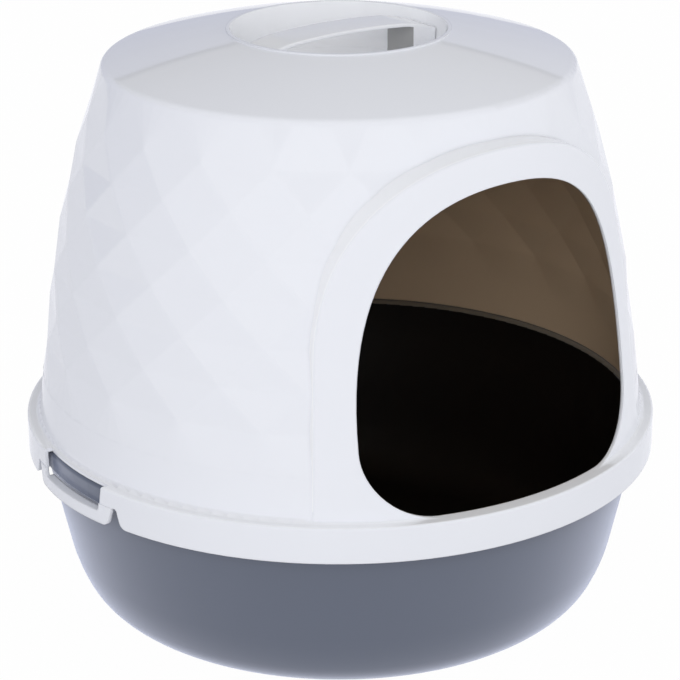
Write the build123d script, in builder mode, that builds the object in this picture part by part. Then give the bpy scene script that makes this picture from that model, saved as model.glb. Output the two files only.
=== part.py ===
# Covered litter box: a round pan, a faceted hood with an arched entrance, a carry handle
# in a well in the roof, and a flexible latch tab on each side of the hood's skirt.
# Frame: origin on the floor under the centre, +Z up, the entrance faces -Y, tabs at -X and +X.
from build123d import *
from math import cos, pi, radians, sin, sqrt, tan
import os

os.makedirs("parts", exist_ok=True)

# Ledge where the hood sits on the pan
ledge_height = 142.7
ledge_radius = 225.0
ledge_width = 8.8
ledge_round = 1.5
skirt_drop = 24.9
hood_wall = 2.5

# Hood wall: a straight cone at the foot, then an arc that leans in
foot_fillet = 3.0
wall_draft = 7.1
straight_rise = 80.0
wall_arc_radius = 725.0

# Folded diamonds of the wall, each row turned by half a diamond from the one below
fold_columns = 22
fold_rows = 7
first_fold_rise = 57.0
fold_pitch = 27.5
smooth_points = 88

# Roof: a shallow dome that rises from the wall's top edge to the lip of the well
roof_edge_rise = 252.2
roof_arc_radius = 690.0
roof_edge_round = 5.0
lip_radius = 76.2
lip_slope = 9.4

# Round well for the carry handle
well_depth = 30.0
well_draft = 4.0
well_round = 6.0
lip_height = 1.0
lip_width = 2.5

# Entrance and the raised surround round it, seen from the front
entrance_half_width = 111.5
entrance_corner = 46.0
entrance_rise = 210.0
entrance_side_pull = 130.0
entrance_top_pull = 62.0
surround_foot_margin = 27.5
surround_side_margin = 19.0
surround_side_rise = 105.0
surround_top_margin = 22.5
surround_side_pull = 65.0
surround_top_pull = 92.8
surround_proud = 0.8
surround_edge_round = 2.5

# Pan: hangs its lip inside the skirt, and draws in from there down to its foot
pan_wall = 2.6
pan_side_gap = 3.0
pan_base_round = 40.4
pan_belly_round = 107.0
pan_belly_angle = 27.0
pan_draft = 12.2
pan_collar_drop = 20.0
pan_groove = 2.5
pan_rim_round = 1.0
pan_lip_drop = 13.0
seat_gap = 0.3

# Latch tabs: a window through the ledge, a strap below it and a notch on each side
window_half_width = 38.5
window_taper = 3.0
window_corner = 3.0
tab_drop = 26.5
tab_bow = 1.5
strap_depth = 8.5
notch_offset = 50.6
notch_half_width = 2.8
notch_top_drop = 12.0
notch_flare = 18.0
notch_corner = 6.0
tab_root_drop = 13.0
tab_gap = 0.3
hook_gap = 0.4
hook_thickness = 2.2
hook_end_margin = 1.0

# Carry handle: a strap that bridges the well on two hollow piers
handle_width = 34.0
handle_wall = 2.5
handle_crown = 1.25
handle_edge_round = 1.2
handle_gap = 0.3
grip_half_length = 44.0
grip_fall = 1.7
shoulder_lean = 6.0
shoulder_pull = 15.0
shoulder_fall = 4.1
handle_end_fall = 9.5
finger_half_length = 52.6
peg_radius = 4.0
peg_gap = 0.15
peg_head_radius = 6.0
peg_head = 2.5
peg_offset = 60.5

# Heights and places that follow from the sizes above
skirt_bottom = ledge_height - skirt_drop
ledge_under = ledge_height - hood_wall
foot_radius = ledge_radius - ledge_width
window_radius = foot_radius + foot_fillet
strap_half_width = window_half_width - window_taper


def wall_radius(rise, inset=0.0):
    """Radius of the hood's wall at a rise above the ledge, or of its inner face."""
    draft = radians(wall_draft)
    if rise <= straight_rise:
        return foot_radius - rise * tan(draft) - inset / cos(draft)
    start = foot_radius - straight_rise * tan(draft)
    centre_r = start - wall_arc_radius * cos(draft)
    centre_z = straight_rise - wall_arc_radius * sin(draft)
    return centre_r + sqrt((wall_arc_radius - inset) ** 2 - (rise - centre_z) ** 2)


# Centre of the roof's arc, which meets the wall at its top edge
roof_centre_radius = lip_radius - roof_arc_radius * sin(radians(lip_slope))
roof_reach = wall_radius(roof_edge_rise) - roof_centre_radius
roof_centre_level = ledge_height + roof_edge_rise - sqrt(roof_arc_radius**2 - roof_reach**2)


def roof_level(radius, inset=0.0):
    """Height of the roof at a radius, or of its inner face."""
    arc_radius = roof_arc_radius - inset
    return roof_centre_level + sqrt(arc_radius**2 - (radius - roof_centre_radius) ** 2)


# Heights of the roof's well, and places that follow from them
lip_level = roof_level(lip_radius)
lip_rise = lip_level - ledge_height
well_top = lip_level + lip_height
well_floor = lip_level - well_depth
well_radius = lip_radius - lip_width / 2
fold_bottom = first_fold_rise - fold_pitch
fold_top = first_fold_rise + fold_rows * fold_pitch
surround_foot = entrance_half_width + surround_foot_margin
surround_side = entrance_half_width + surround_side_margin
surround_rise = entrance_rise + surround_top_margin
rim_under = ledge_under - seat_gap - pan_wall
tab_bottom = ledge_height - tab_drop
strap_top = tab_bottom + strap_depth
root_level = ledge_height - tab_root_drop
handle_top = lip_level + handle_crown
reach = 2.0 * ledge_radius

# Corners of the pan's outer profile, from the collar under its rim down to the foot
belly_cos = cos(radians(pan_belly_angle))
belly_sin = sin(radians(pan_belly_angle))
draft_cos = cos(radians(pan_draft))
draft_sin = sin(radians(pan_draft))
pan_lip_radius = ledge_radius - hood_wall - pan_side_gap
collar_radius = pan_lip_radius - pan_wall - pan_groove
collar_level = ledge_height - pan_collar_drop
base_level = pan_base_round * (1 - belly_sin)
belly_level = base_level + pan_belly_round * (belly_sin - draft_sin)
belly_radius = collar_radius - (collar_level - belly_level) * tan(radians(pan_draft))
base_radius = belly_radius - pan_belly_round * (draft_cos - belly_cos)
pan_foot_radius = base_radius - pan_base_round * belly_cos

# The tab's face is an arc that bows out from the skirt between the two notches
tab_edge = sqrt(ledge_radius**2 - notch_offset**2)
tab_sag = ledge_radius + tab_bow - tab_edge
tab_radius = (notch_offset**2 + tab_sag**2) / (2 * tab_sag)
tab_centre = ledge_radius + tab_bow - tab_radius


def ring(rise, count, turn, inset):
    """Level ring of points on the wall, the first one at turn columns from the front."""
    radius = wall_radius(rise, inset)
    angles = [2 * pi * (index + turn) / count - pi / 2 for index in range(count)]
    return [(radius * cos(a), radius * sin(a), ledge_height + rise) for a in angles]


def fold_ring(row, inset):
    """Corners of one row of folds, each second row turned by half a column."""
    return ring(first_fold_rise + row * fold_pitch, fold_columns, (row % 2) / 2, inset)


def upper_hood(inset):
    """Solid up to the hood's folded wall and roof, or up to their inner faces."""
    with BuildPart() as form:
        # Bands of folds between a smooth ring at the foot and one at the roof
        ConvexPolyhedron(ring(fold_bottom, smooth_points, 0, inset) + fold_ring(0, inset))
        for row in range(fold_rows - 1):
            ConvexPolyhedron(fold_ring(row, inset) + fold_ring(row + 1, inset))
        top_turn = ((fold_rows - 1) % 2) * smooth_points / fold_columns / 2
        top_ring = ring(fold_top, smooth_points, top_turn, inset)
        ConvexPolyhedron(fold_ring(fold_rows - 1, inset) + top_ring)
        # Crown where the wall turns into the roof
        with BuildSketch(Plane.XZ) as crown:
            low = ledge_height + fold_top
            high = ledge_height + lip_rise
            middle = (fold_top + lip_rise) / 2
            with BuildLine():
                Polyline(
                    (wall_radius(lip_rise, inset), high),
                    (0, high),
                    (0, low),
                    (wall_radius(fold_top, inset), low),
                )
                ThreePointArc(
                    (wall_radius(fold_top, inset), low),
                    (wall_radius(middle, inset), ledge_height + middle),
                    (wall_radius(lip_rise, inset), high),
                )
            make_face()
            with BuildLine():
                ThreePointArc(
                    (0, roof_level(0, inset)),
                    (foot_radius / 2, roof_level(foot_radius / 2, inset)),
                    (foot_radius, roof_level(foot_radius, inset)),
                )
                Polyline(
                    (foot_radius, roof_level(foot_radius, inset)),
                    (foot_radius, skirt_bottom),
                    (0, skirt_bottom),
                )
                Line((0, skirt_bottom), (0, roof_level(0, inset)))
            make_face(mode=Mode.INTERSECT)
            shoulder = crown.vertices().filter_by_position(Axis.Y, low + 1, lip_level)
            fillet(shoulder.sort_by(Axis.X)[-1], radius=roof_edge_round - inset)
        revolve(axis=Axis.Z)
    return form.part


def surround_block(inset):
    """Block of the surround: its outline seen from the front, cut to a straight cone."""
    foot = (surround_foot - inset, ledge_under - hood_wall + inset)
    side = (surround_side - inset, ledge_height + surround_side_rise)
    lean = (surround_foot - surround_side) / surround_side_rise
    crest = ledge_height + surround_rise - inset
    with BuildPart() as block:
        with BuildSketch(Plane.XZ):
            with BuildLine():
                Polyline((0, foot[1]), foot, side)
                Bezier(
                    side,
                    (side[0] - lean * surround_side_pull, side[1] + surround_side_pull),
                    (surround_top_pull - inset / 2, crest),
                    (0, crest),
                )
                mirror(about=Plane.YZ)
            make_face()
        extrude(amount=reach)
        with BuildSketch(Plane.XZ):
            with BuildLine():
                start = foot_radius + surround_proud - inset / cos(radians(wall_draft))
                taper = tan(radians(wall_draft))
                Polyline(
                    (0, skirt_bottom),
                    (start + skirt_drop * taper, skirt_bottom),
                    (start - lip_rise * taper, lip_level),
                    (0, lip_level),
                    close=True,
                )
            make_face()
        revolve(axis=Axis.Z, mode=Mode.INTERSECT)
    return block.part


def side_view(half_width, low, high):
    """Face seen from the side, symmetric about the middle of a latch tab."""
    with BuildSketch() as face:
        with Locations((0, (low + high) / 2)):
            Rectangle(2 * half_width, high - low)
    return face.sketch


def window_view(top):
    """Window over a latch tab's strap, seen from the side, a little wider at the ledge."""
    lean = window_taper / (ledge_height - strap_top)
    with BuildSketch() as face:
        with BuildLine():
            Polyline(
                (-strap_half_width, strap_top),
                (strap_half_width, strap_top),
                (strap_half_width + (top - strap_top) * lean, top),
                (-strap_half_width - (top - strap_top) * lean, top),
                close=True,
            )
        make_face()
    return face.sketch


def notches():
    """Both notches at the ends of a latch tab, seen from the side."""
    centre = ledge_height - notch_top_drop - notch_half_width
    depth = centre - tab_bottom + hood_wall
    flare = notch_half_width + depth * tan(radians(notch_flare))
    with BuildSketch() as pair:
        with Locations((notch_offset, centre)):
            Circle(notch_half_width)
        with BuildLine():
            Polyline(
                (notch_offset - notch_half_width, centre),
                (notch_offset + notch_half_width, centre),
                (notch_offset + flare, centre - depth),
                (notch_offset - flare, centre - depth),
                close=True,
            )
        make_face()
        mirror(about=Plane.YZ)
    return pair.sketch


def well_form(inset, top):
    """Solid that fills the handle's well up to a top, drawn in from its wall and floor."""
    taper = tan(radians(well_draft))
    floor_radius = well_radius - (well_top - well_floor) * taper - inset
    with BuildPart() as form:
        with BuildSketch(Plane.XZ) as section:
            with BuildLine():
                Polyline(
                    (0, well_floor + min(inset, 0.0)),
                    (floor_radius, well_floor + min(inset, 0.0)),
                    (floor_radius + (top - well_floor) * taper, top),
                    (0, top),
                    close=True,
                )
            make_face()
            low_corner = section.vertices().group_by(Axis.Y)[0].sort_by(Axis.X)[-1]
            fillet(low_corner, radius=well_round - inset)
        revolve(axis=Axis.Z)
    return form.part


def strap_face(drop, half_length):
    """Face under the handle's top line, lowered by a drop, out to a half length."""
    top = handle_top - drop
    grip_end = (grip_half_length, top - grip_fall)
    with BuildSketch(Plane.XZ) as face:
        with BuildLine():
            grip = TangentArc((0, top), grip_end, tangent=(1, 0))
            Bezier(
                grip_end,
                grip @ 1 + (grip % 1) * shoulder_lean,
                (well_radius - shoulder_pull, top - shoulder_fall),
                (well_radius, top - handle_end_fall),
            )
            Polyline(
                (well_radius, top - handle_end_fall),
                (well_radius, ledge_height),
                (0, ledge_height),
            )
            mirror(about=Plane.YZ)
        make_face()
        with Locations((0, top)):
            Rectangle(2 * half_length, 2 * lip_rise, mode=Mode.INTERSECT)
    return face.sketch


with BuildPart() as pan:
    with BuildSketch(Plane.XZ) as pan_section:
        with BuildLine():
            foot_line = Line((0, 0), (pan_foot_radius, 0))
            base_end = (base_radius, base_level)
            base_arc = TangentArc(foot_line @ 1, base_end, tangent=foot_line % 1)
            belly_end = (belly_radius, belly_level)
            belly_arc = TangentArc(base_arc @ 1, belly_end, tangent=base_arc % 1)
            Line(belly_arc @ 1, (collar_radius, collar_level))
            FilletPolyline(
                (collar_radius, collar_level),
                (collar_radius, rim_under),
                (collar_radius + pan_groove, rim_under),
                (collar_radius + pan_groove, ledge_height - pan_lip_drop),
                radius=pan_rim_round,
            )
            offset(amount=pan_wall, side=Side.LEFT)
        make_face()
    revolve(axis=Axis.Z)
pan.part.label = "pan"

with BuildPart() as cabin:
    add(upper_hood(hood_wall))
    with BuildSketch(Plane.XZ):
        with BuildLine():
            Polyline(
                (0, skirt_bottom),
                (ledge_radius - hood_wall, skirt_bottom),
                (ledge_radius - hood_wall, ledge_under),
                (wall_radius(0, hood_wall), ledge_under),
                (wall_radius(fold_bottom, hood_wall), ledge_height + fold_bottom),
                (0, ledge_height + fold_bottom),
                close=True,
            )
        make_face()
    revolve(axis=Axis.Z)
    add(surround_block(hood_wall))

with BuildPart() as surround:
    add(surround_block(0.0))
    outline_edges = surround.edges().filter_by(GeomType.LINE, reverse=True)
    outline_edges = outline_edges.filter_by(GeomType.CIRCLE, reverse=True)
    fillet(
        outline_edges.filter_by_position(Axis.Y, -reach, -lip_radius),
        radius=surround_edge_round,
    )

with BuildPart() as entrance:
    with BuildSketch(Plane.XZ):
        with BuildLine():
            corner_end = (entrance_half_width, ledge_height + entrance_corner)
            sill = Line(
                (0, ledge_height),
                (entrance_half_width - entrance_corner, ledge_height),
            )
            TangentArc(sill @ 1, corner_end, tangent=sill % 1)
            Bezier(
                corner_end,
                (corner_end[0], corner_end[1] + entrance_side_pull),
                (entrance_top_pull, ledge_height + entrance_rise),
                (0, ledge_height + entrance_rise),
            )
            mirror(about=Plane.YZ)
        make_face()
    extrude(amount=reach)

with BuildPart() as latch_openings:
    with BuildSketch(Plane.YZ) as opening_view:
        add(window_view(ledge_height + 2 * foot_fillet))
        add(side_view(notch_offset, tab_bottom - hood_wall, root_level))
        add(notches())
        # Open below the skirt too, so that its corners beside the notches are rounded
        add(side_view(2 * notch_offset, tab_bottom - hood_wall, skirt_bottom))
        skirt_corners = opening_view.vertices().filter_by_position(
            Axis.Y, skirt_bottom, skirt_bottom
        )
        fillet(skirt_corners.sort_by(Axis.X)[1:-1], radius=notch_corner)
    extrude(amount=reach, both=True)
    Cylinder(window_radius, reach, mode=Mode.SUBTRACT)

with BuildPart() as hood:
    add(upper_hood(0.0))
    with BuildSketch(Plane.XZ) as hood_foot:
        with BuildLine():
            Polyline(
                (0, skirt_bottom),
                (ledge_radius, skirt_bottom),
                (ledge_radius, ledge_height),
                (foot_radius, ledge_height),
                (wall_radius(fold_bottom), ledge_height + fold_bottom),
                (0, ledge_height + fold_bottom),
                close=True,
            )
        make_face()
        level = hood_foot.vertices().filter_by_position(Axis.Y, ledge_height, ledge_height)
        fillet(level.sort_by(Axis.X)[0], radius=foot_fillet)
        level = hood_foot.vertices().filter_by_position(Axis.Y, ledge_height, ledge_height)
        fillet(level.sort_by(Axis.X)[-1], radius=ledge_round)
    revolve(axis=Axis.Z)
    add(surround.part)
    add(cabin.part, mode=Mode.SUBTRACT)
    # Well for the handle: cut through the roof, then given its own floor, wall and lip
    add(well_form(-hood_wall, well_top), mode=Mode.ADD)
    add(well_form(0.0, well_top), mode=Mode.SUBTRACT)
    add(entrance.part, mode=Mode.SUBTRACT)
    add(latch_openings.part, mode=Mode.SUBTRACT)
    with Locations((-peg_offset, 0, well_floor), (peg_offset, 0, well_floor)):
        Cylinder(peg_radius + peg_gap, 3 * hood_wall, mode=Mode.SUBTRACT)
hood.part.label = "hood"

with BuildPart() as hook_ring:
    with BuildSketch(Plane.XZ):
        with BuildLine():
            Polyline(
                (pan_lip_radius + hook_gap, strap_top),
                (ledge_radius + tab_bow - hood_wall / 2, strap_top),
                (ledge_radius + tab_bow - hood_wall / 2, tab_bottom),
                (pan_lip_radius + hook_gap, strap_top - hook_thickness),
                close=True,
            )
        make_face()
    revolve(axis=Axis.Z)
    Box(
        2 * reach,
        2 * (strap_half_width - hook_end_margin),
        2 * reach,
        mode=Mode.INTERSECT,
    )

with BuildPart() as right_tab:
    with BuildSketch(Plane.XY.offset(tab_bottom)):
        with Locations((tab_centre, 0)):
            Circle(tab_radius)
            Circle(tab_radius - hood_wall, mode=Mode.SUBTRACT)
    extrude(amount=root_level - tab_bottom)
    with BuildSketch(Plane.YZ) as tab_view:
        add(side_view(notch_offset, tab_bottom, root_level - tab_gap))
        add(window_view(ledge_height), mode=Mode.SUBTRACT)
        add(notches(), mode=Mode.SUBTRACT)
        fillet(tab_view.vertices().group_by(Axis.Y)[0], radius=notch_corner)
        window_corners = tab_view.vertices().filter_by_position(Axis.Y, strap_top, strap_top)
        fillet(window_corners, radius=window_corner)
    extrude(amount=reach, mode=Mode.INTERSECT)
    add(hook_ring.part.solids().sort_by(Axis.X)[-1])
right_tab.part.label = "right_latch_tab"

with BuildPart() as left_tab:
    add(mirror(right_tab.part, about=Plane.YZ))
left_tab.part.label = "left_latch_tab"

with BuildPart() as pier_cores:
    extrude(
        strap_face(handle_wall, well_radius),
        amount=handle_width / 2 - handle_wall,
        both=True,
    )
    add(well_form(handle_gap + handle_wall, well_top), mode=Mode.INTERSECT)
    with Locations((0, 0, well_floor)):
        Box(
            2 * (finger_half_length + handle_wall),
            handle_width,
            2 * well_depth + 2 * handle_crown + lip_height,
            mode=Mode.SUBTRACT,
        )

with BuildPart() as pegs:
    under_floor = well_floor - hood_wall
    with Locations((-peg_offset, 0, under_floor), (peg_offset, 0, under_floor)):
        Cylinder(peg_radius, 2 * well_depth, align=(Align.CENTER, Align.CENTER, Align.MIN))
        Cylinder(peg_head_radius, peg_head, align=(Align.CENTER, Align.CENTER, Align.MAX))
    extrude(
        strap_face(handle_wall / 2, well_radius),
        amount=handle_width,
        both=True,
        mode=Mode.INTERSECT,
    )

with BuildPart() as handle:
    extrude(strap_face(0.0, well_radius), amount=handle_width / 2, both=True)
    top_edges = handle.edges().filter_by_position(Axis.Z, well_floor, handle_top + handle_crown)
    long_edges = top_edges.group_by(Axis.Y)
    fillet(long_edges[0] + long_edges[-1], radius=handle_edge_round)
    add(well_form(handle_gap, handle_top + handle_crown), mode=Mode.INTERSECT)
    extrude(
        strap_face(handle_wall, finger_half_length),
        amount=handle_width,
        both=True,
        mode=Mode.SUBTRACT,
    )
    add(pier_cores.part, mode=Mode.SUBTRACT)
    add(pegs.part)
handle.part.label = "carry_handle"

for piece in (pan, hood, handle, left_tab, right_tab):
    export_step(piece.part, f"parts/{piece.part.label}.step")
    print(piece.part.label, round(piece.part.volume / 1000, 1), "cm3")
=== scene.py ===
# Looks of the covered litter box: glossy white hood, handle and latch tabs on a grey-blue pan,
# in a white studio with a grey ceiling. Lengths are in metres and angles in degrees.
from math import cos, radians, sin, tan

import bmesh
import bpy
from mathutils import Matrix, Vector


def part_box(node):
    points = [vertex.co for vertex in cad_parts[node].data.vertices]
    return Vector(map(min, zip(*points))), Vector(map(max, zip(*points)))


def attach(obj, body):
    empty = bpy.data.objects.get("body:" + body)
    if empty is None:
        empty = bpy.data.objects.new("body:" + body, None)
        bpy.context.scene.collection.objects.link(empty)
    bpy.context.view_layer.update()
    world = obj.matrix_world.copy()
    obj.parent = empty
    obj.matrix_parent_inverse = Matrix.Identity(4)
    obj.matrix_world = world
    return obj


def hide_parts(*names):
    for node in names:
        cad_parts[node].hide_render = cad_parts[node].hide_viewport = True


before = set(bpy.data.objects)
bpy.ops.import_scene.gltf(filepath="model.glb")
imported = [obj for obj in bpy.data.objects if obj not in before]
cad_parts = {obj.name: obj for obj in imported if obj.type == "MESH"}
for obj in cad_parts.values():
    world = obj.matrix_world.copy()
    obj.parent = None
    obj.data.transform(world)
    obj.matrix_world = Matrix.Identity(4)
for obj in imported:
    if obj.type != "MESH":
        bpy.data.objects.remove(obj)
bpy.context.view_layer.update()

# Camera of the photograph, its lens in millimetres
camera_azimuth = -35.0
camera_pitch = 21.0
camera_roll = -0.236
camera_height = 0.8183
camera_distance = 1.6475
camera_lens = 130.07

# Places on the hood where its material changes
ledge_level = 0.1427
ledge_round = 0.0015
fold_foot_level = 0.150
window_inner_radius = 0.2188
front_limit = -0.14
entrance_half_width = 0.1125
well_low_level = 0.35
well_radius = 0.0752
well_clear_radius = 0.085

# Surround of the entrance: its front is part of a straight cone
surround_foot_radius = 0.217
surround_draft = 7.1
surround_tolerance = 0.0004
surround_middle_level = 0.24
surround_top_level = 0.378

# Limits for faces that look inwards, squarely inwards, to the sides, up, and across a gap
inward_limit = -0.005
square_limit = -0.06
sideways_limit = 0.4
upward_limit = 0.5
pier_end_limit = -0.8
upward_power = 4.0

# Rounding in the shading: of the hood's edges, its folds, the tabs and the other pieces
edge_round = 0.0012
fold_round = 0.004
tab_shade_round = 0.0018
fine_round = 0.001

# Tones painted on parts for their light or shadow, and how much duller the hood's inside is
painted_light_white = (0.90, 0.91, 0.94)
painted_inside_shade = (0.63, 0.47, 0.32)
painted_pier_shade = (0.36, 0.36, 0.355)
rim_shadow = (0.17, 0.15, 0.12)
inside_dulling = 0.4

# Pan: its inside, the inner half of its rim, and its lip, which hangs further down
pan_floor_radius = 0.205
pan_rim_depth = 0.0034
pan_rim_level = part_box("pan")[1][2] - pan_rim_depth
pan_rim_radius = 0.2157
lip_edge_level = 0.1312
lip_inner_radius = 0.2160
lip_more_drop = 0.0035

# Latch tabs: the root that runs on up into the skirt
tab_top_band = 0.0001
tab_top_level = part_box("left_latch_tab")[1][2] - tab_top_band
tab_root_depth = 0.001

# Carry handle: the share of its width that the strap keeps
handle_width_share = 0.9

# Meshes: how near the points of a seam lie, and the angle from which an edge is sharp
seam_distance = 1e-6
sharp_angle = 15.0

# Studio: the floor and the share of its own light in it, the walls' height, the lamps' aim
floor_radius = 6.0
floor_glow = 0.985
wall_top_angle = 22.0
lamp_aim = Vector((0.0, 0.0, 0.2))


def make_camera():
    """The photograph's camera."""
    data = bpy.data.cameras.new("photo_camera")
    data.sensor_width = 36.0
    data.lens = camera_lens
    data.clip_end = 50.0
    camera = bpy.data.objects.new("photo_camera", data)
    turn = radians(camera_azimuth)
    place = (camera_distance * sin(turn), -camera_distance * cos(turn), camera_height)
    camera.matrix_world = (
        Matrix.Translation(place)
        @ Matrix.Rotation(turn, 4, "Z")
        @ Matrix.Rotation(radians(90.0 - camera_pitch), 4, "X")
        @ Matrix.Rotation(radians(camera_roll), 4, "Z")
    )
    bpy.context.scene.collection.objects.link(camera)
    bpy.context.scene.camera = camera


def add_node(tree, kind, **values):
    """A node with its properties and the values of its inputs, whose spaces are underscores."""
    node = tree.nodes.new(kind)
    for name, value in values.items():
        label = name.replace("_", " ")
        if label in node.inputs:
            node.inputs[label].default_value = value
        else:
            setattr(node, name, value)
    return node


def feed(tree, socket, value):
    """Links a socket to another node's output, or sets it to a plain value."""
    if isinstance(value, bpy.types.NodeSocket):
        tree.links.new(value, socket)
    else:
        socket.default_value = value


def maths(tree, operation, *values):
    """Result of a maths node on sockets and plain numbers."""
    node = add_node(tree, "ShaderNodeMath", operation=operation)
    for socket, value in zip(node.inputs, values):
        feed(tree, socket, value)
    return node.outputs["Value"]


def all_of(tree, first, *others):
    """1 where every mask is 1."""
    for mask in others:
        first = maths(tree, "MULTIPLY", first, mask)
    return first


def any_of(tree, first, *others):
    """1 where some mask is 1."""
    for mask in others:
        first = maths(tree, "MAXIMUM", first, mask)
    return first


def opposite(tree, mask):
    """1 where a mask is 0."""
    return maths(tree, "SUBTRACT", 1.0, mask)


def mix_tones(tree, share, first, second):
    """Mix of two tones by the share of the second."""
    node = add_node(tree, "ShaderNodeMix", data_type="RGBA")
    feed(tree, node.inputs["Factor"], share)
    feed(tree, node.inputs[6], first)
    feed(tree, node.inputs[7], second)
    return node.outputs[2]


def split_xyz(tree, vector):
    """X, Y and Z of a vector."""
    split = add_node(tree, "ShaderNodeSeparateXYZ")
    tree.links.new(vector, split.inputs["Vector"])
    return split.outputs


def level_product(tree, first, second):
    """Dot product of the level parts of two split vectors."""
    across = maths(tree, "MULTIPLY", first["X"], second["X"])
    return maths(tree, "MULTIPLY_ADD", first["Y"], second["Y"], across)


def axis_distance(tree, spot):
    """Distance of a point from the box's upright axis."""
    return maths(tree, "SQRT", level_product(tree, spot, spot))


def new_group(name, inputs, outputs):
    """An empty node group with its sockets."""
    tree = bpy.data.node_groups.new(name, "ShaderNodeTree")
    for socket, kind in inputs:
        tree.interface.new_socket(socket, in_out="INPUT", socket_type="NodeSocket" + kind)
    for socket, kind in outputs:
        tree.interface.new_socket(socket, in_out="OUTPUT", socket_type="NodeSocket" + kind)
    return tree


def moulded_group():
    """Surface of an injection moulding: shade, satin patches, fine waves and soft edges."""
    tree = new_group(
        "moulded_surface",
        (
            ("Tone A", "Color"),
            ("Tone B", "Color"),
            ("Roughness Low", "Float"),
            ("Roughness High", "Float"),
            ("Ripple", "Float"),
            ("Edge Round", "Float"),
        ),
        (("Color", "Color"), ("Roughness", "Float"), ("Normal", "Vector")),
    )
    link = tree.links.new
    source = add_node(tree, "NodeGroupInput")
    result = add_node(tree, "NodeGroupOutput")
    place = add_node(tree, "ShaderNodeTexCoord")

    flow = add_node(tree, "ShaderNodeTexNoise", Scale=7.0, Detail=3.0, Roughness=0.5)
    link(place.outputs["Object"], flow.inputs["Vector"])
    tone = mix_tones(tree, flow.outputs["Fac"], source.outputs["Tone A"], source.outputs["Tone B"])
    link(tone, result.inputs["Color"])

    patches = add_node(tree, "ShaderNodeTexNoise", Scale=38.0, Detail=5.0, Roughness=0.6)
    satin = add_node(
        tree, "ShaderNodeMapRange", interpolation_type="SMOOTHSTEP", From_Min=0.3, From_Max=0.7
    )
    link(place.outputs["Object"], patches.inputs["Vector"])
    link(patches.outputs["Fac"], satin.inputs["Value"])
    link(source.outputs["Roughness Low"], satin.inputs["To Min"])
    link(source.outputs["Roughness High"], satin.inputs["To Max"])
    link(satin.outputs["Result"], result.inputs["Roughness"])

    ripple = add_node(tree, "ShaderNodeTexNoise", Scale=120.0, Detail=2.0)
    edges = add_node(tree, "ShaderNodeBevel", samples=8)
    bump = add_node(tree, "ShaderNodeBump", Distance=0.0001)
    link(place.outputs["Object"], ripple.inputs["Vector"])
    link(source.outputs["Edge Round"], edges.inputs["Radius"])
    link(edges.outputs["Normal"], bump.inputs["Normal"])
    link(ripple.outputs["Fac"], bump.inputs["Height"])
    link(source.outputs["Ripple"], bump.inputs["Strength"])
    link(bump.outputs["Normal"], result.inputs["Normal"])
    return tree


def inside_group():
    """Mask of the faces that look into the box, without the handle's well and the reveal."""
    tree = new_group(
        "inside_faces",
        (("Well Radius", "Float"), ("Window Radius", "Float"), ("Reveal Half Width", "Float")),
        (("Inside", "Float"),),
    )
    source = add_node(tree, "NodeGroupInput")
    result = add_node(tree, "NodeGroupOutput")
    place = add_node(tree, "ShaderNodeTexCoord")
    spot = split_xyz(tree, place.outputs["Object"])
    slope = split_xyz(tree, place.outputs["Normal"])
    radius = axis_distance(tree, spot)
    facing = level_product(tree, spot, slope)
    inward = maths(tree, "LESS_THAN", facing, inward_limit)
    past_well = maths(tree, "GREATER_THAN", radius, source.outputs["Well Radius"])

    # Beyond the inner side of the latch windows only the faces that look squarely inwards count
    within = maths(tree, "LESS_THAN", radius, source.outputs["Window Radius"])
    square = maths(tree, "LESS_THAN", facing, square_limit)
    uncut = any_of(tree, within, square)

    # The faces of the reveal look across the entrance
    across = maths(tree, "ABSOLUTE", spot["X"])
    narrow = maths(tree, "LESS_THAN", across, source.outputs["Reveal Half Width"])
    front = maths(tree, "LESS_THAN", spot["Y"], front_limit)
    sideways = maths(tree, "LESS_THAN", maths(tree, "ABSOLUTE", slope["Y"]), sideways_limit)
    reveal = all_of(tree, narrow, front, sideways)

    inside = all_of(tree, inward, past_well, uncut, opposite(tree, reveal))
    tree.links.new(inside, result.inputs["Inside"])
    return tree


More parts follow.
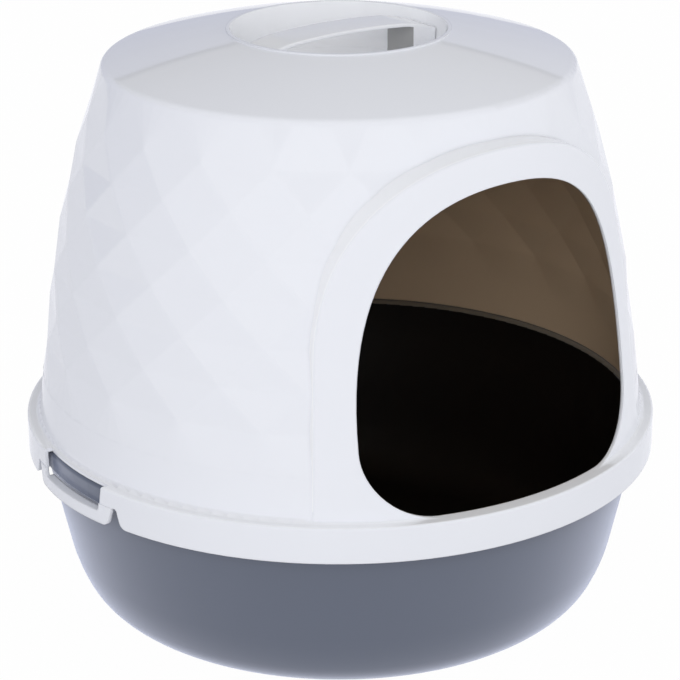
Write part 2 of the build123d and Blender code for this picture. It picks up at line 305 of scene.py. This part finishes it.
def hood_parts_group():
    """Masks of the folded wall with the roof, and of the well, ledge top and surround's rim, which
    get painted light.
    """
    tree = new_group("hood_parts", (), (("Folded", "Float"), ("Bright", "Float")))
    result = add_node(tree, "NodeGroupOutput")
    place = add_node(tree, "ShaderNodeTexCoord")
    spot = split_xyz(tree, place.outputs["Object"])
    slope = split_xyz(tree, place.outputs["Normal"])
    radius = axis_distance(tree, spot)
    above = maths(tree, "GREATER_THAN", spot["Z"], fold_foot_level)
    front = maths(tree, "LESS_THAN", spot["Y"], front_limit)

    # The surround's front lies on its cone
    taper = tan(radians(surround_draft))
    start = surround_foot_radius + ledge_level * taper
    cone = maths(tree, "MULTIPLY_ADD", spot["Z"], -taper, start)
    off = maths(tree, "ABSOLUTE", maths(tree, "SUBTRACT", radius, cone))
    on_cone = maths(tree, "LESS_THAN", off, surround_tolerance)
    surround = all_of(tree, on_cone, front)

    # The surround's rim runs straight back from its front and looks away from its middle
    height = maths(tree, "SUBTRACT", spot["Z"], surround_middle_level)
    upward = maths(tree, "MULTIPLY", slope["Z"], height)
    away = maths(tree, "MULTIPLY_ADD", slope["X"], spot["X"], upward)
    outward = maths(tree, "GREATER_THAN", away, 0.0)
    sideways = maths(tree, "LESS_THAN", maths(tree, "ABSOLUTE", slope["Y"]), sideways_limit)
    below = maths(tree, "LESS_THAN", spot["Z"], surround_top_level)
    rim = all_of(tree, outward, sideways, below, above, front)

    in_well = maths(tree, "LESS_THAN", radius, well_radius)
    high = maths(tree, "GREATER_THAN", spot["Z"], well_low_level)
    well = all_of(tree, in_well, high)

    over = maths(tree, "GREATER_THAN", spot["Z"], ledge_level - ledge_round)
    level = maths(tree, "POWER", slope["Z"], upward_power)
    ledge = all_of(tree, opposite(tree, above), over, level)

    past_well = maths(tree, "GREATER_THAN", radius, well_clear_radius)
    folded = all_of(tree, above, past_well, opposite(tree, surround), opposite(tree, rim))
    tree.links.new(folded, result.inputs["Folded"])
    tree.links.new(any_of(tree, rim, well, ledge), result.inputs["Bright"])
    return tree


moulded = moulded_group()
inside_faces = inside_group()
hood_parts = hood_parts_group()


def plastic(name, tones, roughness, ripple, rounding):
    """Glossy moulded plastic between two near tones and two near degrees of roughness."""
    material = bpy.data.materials.new(name)
    material.use_nodes = True
    tree = material.node_tree
    shader = tree.nodes["Principled BSDF"]
    shader.inputs["IOR"].default_value = 1.49
    surface = add_node(
        tree,
        "ShaderNodeGroup",
        node_tree=moulded,
        name="surface",
        Tone_A=(*tones[0], 1.0),
        Tone_B=(*tones[1], 1.0),
        Roughness_Low=roughness[0],
        Roughness_High=roughness[1],
        Ripple=ripple,
        Edge_Round=rounding,
    )
    tree.links.new(surface.outputs["Color"], shader.inputs["Base Color"])
    tree.links.new(surface.outputs["Roughness"], shader.inputs["Roughness"])
    tree.links.new(surface.outputs["Normal"], shader.inputs["Normal"])
    return material


def shade_where(material, mask, tone):
    """Paints a tone of light or shade on the faces of a mask."""
    tree = material.node_tree
    target = tree.nodes["Principled BSDF"].inputs["Base Color"]
    shaded = mix_tones(tree, mask, target.links[0].from_socket, (*tone, 1.0))
    tree.links.new(shaded, target)


def paint_inside_shade(material):
    """Paints a warm shade on the faces that look into the box and gives them a duller gloss."""
    tree = material.node_tree
    inward_mask = add_node(
        tree,
        "ShaderNodeGroup",
        node_tree=inside_faces,
        Well_Radius=well_clear_radius,
        Window_Radius=window_inner_radius,
        Reveal_Half_Width=entrance_half_width,
    )
    inside = inward_mask.outputs["Inside"]
    shade_where(material, inside, painted_inside_shade)
    roughness = tree.nodes["surface"].outputs["Roughness"]
    duller = maths(tree, "MULTIPLY_ADD", inside, inside_dulling, roughness)
    tree.links.new(duller, tree.nodes["Principled BSDF"].inputs["Roughness"])


def shade_hood(material):
    """Rounds the hood's folds more than its edges, and paints light on its well, ledge top and
    rim.
    """
    tree = material.node_tree
    parts = add_node(tree, "ShaderNodeGroup", node_tree=hood_parts)
    folded = parts.outputs["Folded"]
    rounding = maths(tree, "MULTIPLY_ADD", folded, fold_round - edge_round, edge_round)
    tree.links.new(rounding, tree.nodes["surface"].inputs["Edge Round"])
    # Painted light: a lighter white on the well, the ledge top and the surround's rim
    shade_where(material, parts.outputs["Bright"], painted_light_white)


def paint_pier_shade(material):
    """Paints shade on the ends of the handle's piers that look across the finger opening, standing
    in for hollows.
    """
    tree = material.node_tree
    place = add_node(tree, "ShaderNodeTexCoord")
    face = add_node(tree, "ShaderNodeNewGeometry")
    spot = split_xyz(tree, place.outputs["Object"])
    slope = split_xyz(tree, face.outputs["True Normal"])
    facing = maths(tree, "MULTIPLY", maths(tree, "SIGN", spot["X"]), slope["X"])
    # Painted shade: a grey on the pier ends under the strap
    shade_where(material, maths(tree, "LESS_THAN", facing, pier_end_limit), painted_pier_shade)


def dark_rim(material):
    """Darkens the inner half of the pan's rim, which lies in the hood's shadow."""
    tree = material.node_tree
    place = add_node(tree, "ShaderNodeTexCoord")
    spot = split_xyz(tree, place.outputs["Object"])
    high = maths(tree, "GREATER_THAN", spot["Z"], pan_rim_level)
    within = maths(tree, "LESS_THAN", axis_distance(tree, spot), pan_rim_radius)
    shade_where(material, all_of(tree, high, within), rim_shadow)


def slate_sheen(material):
    """Gives the pan's plastic a stronger shine and a cool sheen, the same all over."""
    shader = material.node_tree.nodes["Principled BSDF"]
    shader.inputs["IOR"].default_value = 1.7
    shader.inputs["Sheen Weight"].default_value = 1.0
    shader.inputs["Sheen Roughness"].default_value = 0.4
    shader.inputs["Sheen Tint"].default_value = (0.72, 0.78, 1.0, 1.0)


hood_plastic = plastic(
    "hood_white_gloss",
    tones=((0.82, 0.835, 0.885), (0.80, 0.815, 0.87)),
    roughness=(0.03, 0.07),
    ripple=0.03,
    rounding=edge_round,
)
# Painted shade: the hood's inward faces take a warm brown-grey for the dark inside of the box
paint_inside_shade(hood_plastic)
shade_hood(hood_plastic)

handle_plastic = plastic(
    "handle_white_gloss",
    tones=((0.83, 0.84, 0.87), (0.81, 0.82, 0.855)),
    roughness=(0.12, 0.20),
    ripple=0.05,
    rounding=fine_round,
)
paint_pier_shade(handle_plastic)

tab_plastic = plastic(
    "tab_white_gloss",
    tones=((0.82, 0.835, 0.885), (0.80, 0.815, 0.87)),
    roughness=(0.14, 0.24),
    ripple=0.05,
    rounding=tab_shade_round,
)

pan_plastic = plastic(
    "pan_slate_gloss",
    tones=((0.080, 0.096, 0.141), (0.074, 0.090, 0.133)),
    roughness=(0.16, 0.22),
    ripple=0.05,
    rounding=fine_round,
)
slate_sheen(pan_plastic)
dark_rim(pan_plastic)

# Painted shade: a near-black material for the pan's inside, which lies in the box's shadow
pan_painted_shade = plastic(
    "pan_shadowed_inside",
    tones=((0.006, 0.0045, 0.004), (0.005, 0.0035, 0.003)),
    roughness=(0.5, 0.6),
    ripple=0.05,
    rounding=fine_round,
)


def make_object(name, bm):
    """A finished bmesh as an object at the origin, shaded smooth."""
    mesh = bpy.data.meshes.new(name)
    bm.to_mesh(mesh)
    bm.free()
    mesh.shade_smooth()
    piece = bpy.data.objects.new(name, mesh)
    bpy.context.scene.collection.objects.link(piece)
    return piece


def finish_node(name, material):
    """Gives a carried-over node its material."""
    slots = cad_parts[name].data.materials
    slots.clear()
    slots.append(material)


def merged_copy(name):
    """A node's mesh with its seams joined, for a piece that stands in for the node."""
    bm = bmesh.new()
    bm.from_mesh(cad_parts[name].data)
    bmesh.ops.remove_doubles(bm, verts=bm.verts, dist=seam_distance)
    return bm


def stand_in(bm, name, body, material):
    """Shows a finished copy in a node's place."""
    piece = make_object(name + "_moulded", bm)
    piece.data.set_sharp_from_angle(angle=radians(sharp_angle))
    piece.data.materials.append(material)
    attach(piece, body)
    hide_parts(name)
    return piece


def moulded_pan():
    """The pan with the full depth of its lip, and its inside in a near-black material of painted
    shade.
    """
    bm = merged_copy("pan")
    for vert in bm.verts:
        if vert.co.z < lip_edge_level and vert.co.xy.length > lip_inner_radius:
            vert.co.z -= lip_more_drop
    bm.normal_update()
    for face in bm.faces:
        middle = face.calc_center_median()
        inward = face.normal.xy.dot(middle.xy) < inward_limit
        floor = face.normal.z > upward_limit and middle.xy.length < pan_floor_radius
        if middle.z < pan_rim_level and (inward or floor):
            face.material_index = 1
    piece = stand_in(bm, "pan", "pan", pan_plastic)
    piece.data.materials.append(pan_painted_shade)


def moulded_handle():
    """The carry handle at the strap's own width."""
    bm = merged_copy("carry_handle")
    bmesh.ops.scale(bm, vec=(1.0, handle_width_share, 1.0), verts=bm.verts)
    stand_in(bm, "carry_handle", "hood", handle_plastic)


def moulded_tab(name, body):
    """A latch tab whose root runs on up into the skirt."""
    bm = merged_copy(name)
    for vert in bm.verts:
        if vert.co.z > tab_top_level:
            vert.co.z += tab_root_depth
    stand_in(bm, name, body, tab_plastic)


finish_node("hood", hood_plastic)
moulded_pan()
moulded_handle()
moulded_tab("left_latch_tab", "left_latch")
moulded_tab("right_latch_tab", "right_latch")


def make_floor():
    """A floor that looks white by its own light, with a little room for the box's shadow."""
    bm = bmesh.new()
    bmesh.ops.create_circle(bm, cap_ends=True, radius=floor_radius, segments=96)
    floor = make_object("studio_floor", bm)
    material = bpy.data.materials.new("studio_white")
    material.use_nodes = True
    tree = material.node_tree
    link = tree.links.new
    shader = tree.nodes["Principled BSDF"]
    shader.inputs["Base Color"].default_value = (0.8, 0.8, 0.8, 1.0)
    shader.inputs["Roughness"].default_value = 0.9

    path = add_node(tree, "ShaderNodeLightPath")
    camera_ray = path.outputs["Is Camera Ray"]
    glossy_ray = path.outputs["Is Glossy Ray"]
    seen = any_of(tree, camera_ray, glossy_ray, path.outputs["Is Transmission Ray"])
    glow = add_node(tree, "ShaderNodeEmission", Strength=1.0)
    tone = mix_tones(tree, glossy_ray, (1.0, 1.0, 1.0, 1.0), (0.93, 0.94, 1.0, 1.0))
    mix = add_node(tree, "ShaderNodeMixShader")
    link(tone, glow.inputs["Color"])
    link(maths(tree, "MULTIPLY", seen, floor_glow), mix.inputs["Fac"])
    link(shader.outputs["BSDF"], mix.inputs[1])
    link(glow.outputs["Emission"], mix.inputs[2])
    link(mix.outputs["Shader"], tree.nodes["Material Output"].inputs["Surface"])
    floor.data.materials.append(material)


def room_side(tree, height, wall):
    """Tones of one side of the room: its wall, the dark line above that, and the ceiling."""
    top = sin(radians(wall_top_angle))
    ramp = add_node(tree, "ShaderNodeValToRGB")
    stops = ramp.color_ramp.elements
    stops[0].position = top - 0.012
    stops[0].color = wall
    stops[1].position = top - 0.004
    stops[1].color = (0.20, 0.20, 0.22, 1.0)
    for position, level in ((top + 0.008, 0.2), (top + 0.03, 0.5), (0.7, 0.55), (1.0, 0.6)):
        stop = stops.new(position)
        stop.color = (level, level, level, 1.0)
    tree.links.new(height, ramp.inputs["Fac"])
    return ramp.outputs["Color"]


def make_world():
    """White walls of light in front, greyer ones behind, and a grey ceiling above their edge."""
    world = bpy.data.worlds.new("studio")
    world.use_nodes = True
    bpy.context.scene.world = world
    tree = world.node_tree
    place = add_node(tree, "ShaderNodeTexCoord")
    way = split_xyz(tree, place.outputs["Generated"])
    front = room_side(tree, way["Z"], (0.98, 0.985, 1.0, 1.0))
    back = room_side(tree, way["Z"], (0.58, 0.60, 0.72, 1.0))
    behind = add_node(tree, "ShaderNodeMapRange", From_Min=-0.2, From_Max=0.7)
    tree.links.new(way["Y"], behind.inputs["Value"])
    room = mix_tones(tree, behind.outputs["Result"], front, back)
    path = add_node(tree, "ShaderNodeLightPath")
    seen = mix_tones(tree, path.outputs["Is Camera Ray"], room, (1.0, 1.0, 1.0, 1.0))
    tree.links.new(seen, tree.nodes["Background"].inputs["Color"])


def soft_lamp(name, place, size, power):
    """A broad lamp that faces the box's middle and shows in no reflection."""
    data = bpy.data.lights.new(name, "AREA")
    data.shape = "RECTANGLE"
    data.size, data.size_y = size
    data.energy = power
    lamp = bpy.data.objects.new(name, data)
    lamp.location = place
    lamp.rotation_euler = (lamp_aim - Vector(place)).to_track_quat("-Z", "Y").to_euler()
    lamp.visible_glossy = False
    bpy.context.scene.collection.objects.link(lamp)


make_camera()
make_floor()
make_world()
soft_lamp("front_soft_box", place=(-1.8, -2.1, 1.6), size=(1.8, 1.4), power=30.0)
soft_lamp("right_soft_box", place=(2.2, -1.0, 0.9), size=(1.2, 1.6), power=10.0)

bpy.context.scene.view_settings.view_transform = "Standard"
